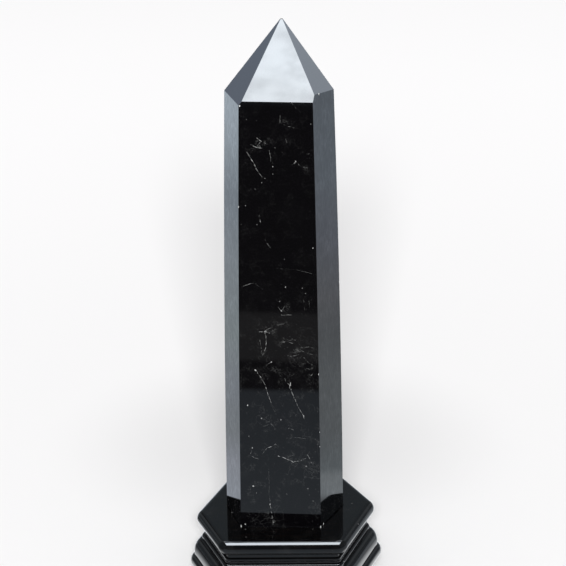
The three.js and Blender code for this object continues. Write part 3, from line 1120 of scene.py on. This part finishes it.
def mirrored_table():
    """What the upright faces mirror: a pale table behind the point and a dim one in front."""
    centre = (0, 0, FLOOR + TABLE_RISE)
    w, place = reflected_card("mirrored_table", centre, (TABLE_WIDTH, 2 * TABLE_REACH))
    away = w.vector("LENGTH", place)
    sideways = w.math("DIVIDE", w.axis(place, "X"), away)
    backwards = w.math("DIVIDE", w.axis(place, "Y"), away)
    left = gradient(w, away, TABLE_REACH, TABLE_LEFT)
    right = gradient(w, away, TABLE_REACH, TABLE_RIGHT)
    behind = w.mix(w.ramp(sideways, -0.45, 0.65), left, right)
    before = gradient(w, w.times(w.axis(place, "Y"), -1.0), TABLE_REACH, TABLE_FRONT)
    beside = gradient(w, away, TABLE_REACH, TABLE_BESIDE)
    rgb = w.mix(w.ramp(backwards, 0.25, 0.50), before, behind)
    close = w.times(w.ramp(sideways, 0.76, 0.84), w.ramp(away, 0.098, 0.088))
    at_side = w.larger(w.ramp(sideways, -0.76, -0.84), close)
    glow(w, w.mix(at_side, rgb, beside), TABLE_STRENGTH)


def room_cards():
    """The walls that the mouldings mirror, a dark card of painted shade above the left wall, and
    the dark room in front.
    """
    for name, (x, y, z), size, facing, rgb in ROOM_CARDS:
        w, _ = reflected_card(name, (x, y, FLOOR + z), size, facing)
        glow(w, solid(rgb))


def overhead_lamp():
    """The broad lamp that the front facet of the point and the board's rounded edge mirror."""
    depth = LAMP_BACK - LAMP_FRONT
    centre = (0, (LAMP_FRONT + LAMP_BACK) / 2, FLOOR + LAMP_HEIGHT)
    w, place = reflected_card("overhead_lamp", centre, (LAMP_WIDTH, depth))
    forward = w.math("SUBTRACT", w.axis(place, "Y"), LAMP_FRONT)
    level = gradient(w, forward, depth, LAMP_LEVELS)
    dimmed = w.ramp(w.noise(place, 60.0, 4.0, 0.6), 0.35, 0.70, 1.06, 0.84)
    glow(w, level, w.times(dimmed, LAMP_POWER))


def point_cards():
    """What the left and right facets of the point mirror."""
    tip = Vector((0, 0, CRYSTAL_BOX[1].z - 20 * MM))
    for name, towards, low, high in POINT_CARDS:
        way = Vector(towards).normalized()
        centre = tip + way * POINT_CARD_WAY
        size = (POINT_CARD_SIZE, POINT_CARD_SIZE)
        w, place = reflected_card(name, centre, size, tuple(-way))
        levels = (centre.z - POINT_CARD_FADE, centre.z + POINT_CARD_FADE)
        glow(w, w.mix(w.ramp(w.axis(place, "Z"), *levels), solid(low), solid(high)))


def pale_world():
    """Pale to the eye, an even sky for the floor, and a dim room in reflections."""
    world = bpy.data.worlds.new("studio")
    bpy.context.scene.world = world
    world.use_nodes = True
    world.node_tree.nodes.clear()
    w = Wiring(world.node_tree)
    rays = w.node("ShaderNodeLightPath").outputs
    seen, shown, room = (
        w.node("ShaderNodeBackground", {"Color": solid(rgb), "Strength": level}).outputs[0]
        for rgb, level in (WORLD_SEEN, WORLD_SKY, WORLD_ROOM)
    )
    for ray, other in (("Is Camera Ray", seen), ("Is Glossy Ray", room)):
        shown = w.node("ShaderNodeMixShader", {0: rays[ray], 1: shown, 2: other}).outputs[0]
    output = w.node("ShaderNodeOutputWorld")
    w.tree.links.new(shown, output.inputs["Surface"])


def pale_floor(settings):
    place = (0, 0, FLOOR)
    floor = added("pale_floor", bpy.ops.mesh.primitive_plane_add, size=12, location=place)
    material, w, place = new_material("pale_floor")
    mottle = w.noise(place, 3.0, 3.0)
    tone = w.mix(mottle, solid(settings.floor, FLOOR_MOTTLE), solid(settings.floor))
    # Painted shade: the floor's colour is darker near the stand and in a soft patch behind it.
    away = w.ramp(w.vector("LENGTH", place), 0.10, 0.85)
    tone = w.mix(away, solid(settings.floor, FLOOR_NEAR_SHADE), tone)
    shade = w.ramp(w.vector("DISTANCE", place, FLOOR_SHADE), 0.03, 0.13, 0.14, 0.0)
    tone = w.mix(shade, tone, solid((0, 0, 0)))
    inputs = {"Base Color": tone, "Roughness": 0.9, "Specular IOR Level": 0.0}
    show(w, "ShaderNodeBsdfPrincipled", inputs)
    give(floor, material)
    floor.visible_glossy = False


def key_light(location=(0, -6, 3.1), aim=(0, 0.1, 0.1), size=(1.5, 0.8), power=527.0):
    """A large soft lamp that isn't mirrored: it lights the floor, the chips and the veils."""
    lamp = added("key", bpy.ops.object.light_add, type="AREA", location=location)
    lamp.data.shape = "RECTANGLE"
    lamp.data.size, lamp.data.size_y = size
    lamp.data.energy = power
    lamp.rotation_euler = (Vector(aim) - Vector(location)).to_track_quat("-Z", "Y").to_euler()
    lamp.visible_glossy = False
    lamp.visible_camera = False


def front_camera(settings):
    """A long lens from the front, looking down on the point."""
    pitch, roll = settings.camera_pitch, settings.camera_roll
    ahead = Vector((0, math.cos(pitch), -math.sin(pitch)))
    right = Vector((1, 0, 0))
    up = right.cross(ahead)
    tipped_right = right * math.cos(roll) + up * math.sin(roll)
    tipped_up = up * math.cos(roll) - right * math.sin(roll)
    aim = Vector((-settings.camera_left, 0, FLOOR + settings.camera_height))
    turn = Matrix((tipped_right, tipped_up, -ahead)).transposed()
    place = aim - ahead * settings.camera_distance
    camera = added("front_camera", bpy.ops.object.camera_add, location=place)
    camera.rotation_euler = turn.to_euler()
    camera.data.sensor_width = 36.0
    camera.data.lens = settings.lens
    camera.data.clip_end = 50
    bpy.context.scene.camera = camera


class MORION_OT_stage(bpy.types.Operator):
    """Sets the pale floor, the soft lights, what the polish reflects, and the camera"""

    bl_idname = "morion.stage"
    bl_label = "Stage"

    def execute(self, context):
        settings = context.scene.morion_stage
        context.scene.view_settings.view_transform = "Standard"
        pale_world()
        pale_floor(settings)
        key_light()
        mirrored_table()
        room_cards()
        overhead_lamp()
        point_cards()
        front_camera(settings)
        return {"FINISHED"}


# ---------------------------------------------------------------- the add-on


class MORION_PT_panel(bpy.types.Panel):
    """Lists the pieces and their settings"""

    bl_label = "Morion point"
    bl_idname = "MORION_PT_panel"
    bl_space_type = "VIEW_3D"
    bl_region_type = "UI"
    bl_category = "Morion"

    def draw(self, context):
        layout = self.layout
        for operator in OPERATORS:
            layout.operator(operator.bl_idname)
        for group in SETTINGS:
            settings = getattr(context.scene, group)
            box = layout.box()
            for name in settings.__annotations__:
                box.prop(settings, name)


SETTINGS = {
    "morion_crystal": MorionCrystalSettings,
    "morion_stand": MorionStandSettings,
    "morion_stage": MorionStageSettings,
}
OPERATORS = (MORION_OT_crystal, MORION_OT_top_board, MORION_OT_base, MORION_OT_stage)
CLASSES = (*SETTINGS.values(), *OPERATORS, MORION_PT_panel)


def register():
    for cls in CLASSES:
        bpy.utils.register_class(cls)
    for name, group in SETTINGS.items():
        setattr(bpy.types.Scene, name, bpy.props.PointerProperty(type=group))


def unregister():
    for name in SETTINGS:
        delattr(bpy.types.Scene, name)
    for cls in reversed(CLASSES):
        bpy.utils.unregister_class(cls)


def main():
    register()
    bpy.ops.morion.stage()
    bpy.ops.morion.base()
    bpy.ops.morion.top_board()
    bpy.ops.morion.crystal()
    deselect()


if __name__ == "__main__":
    main()
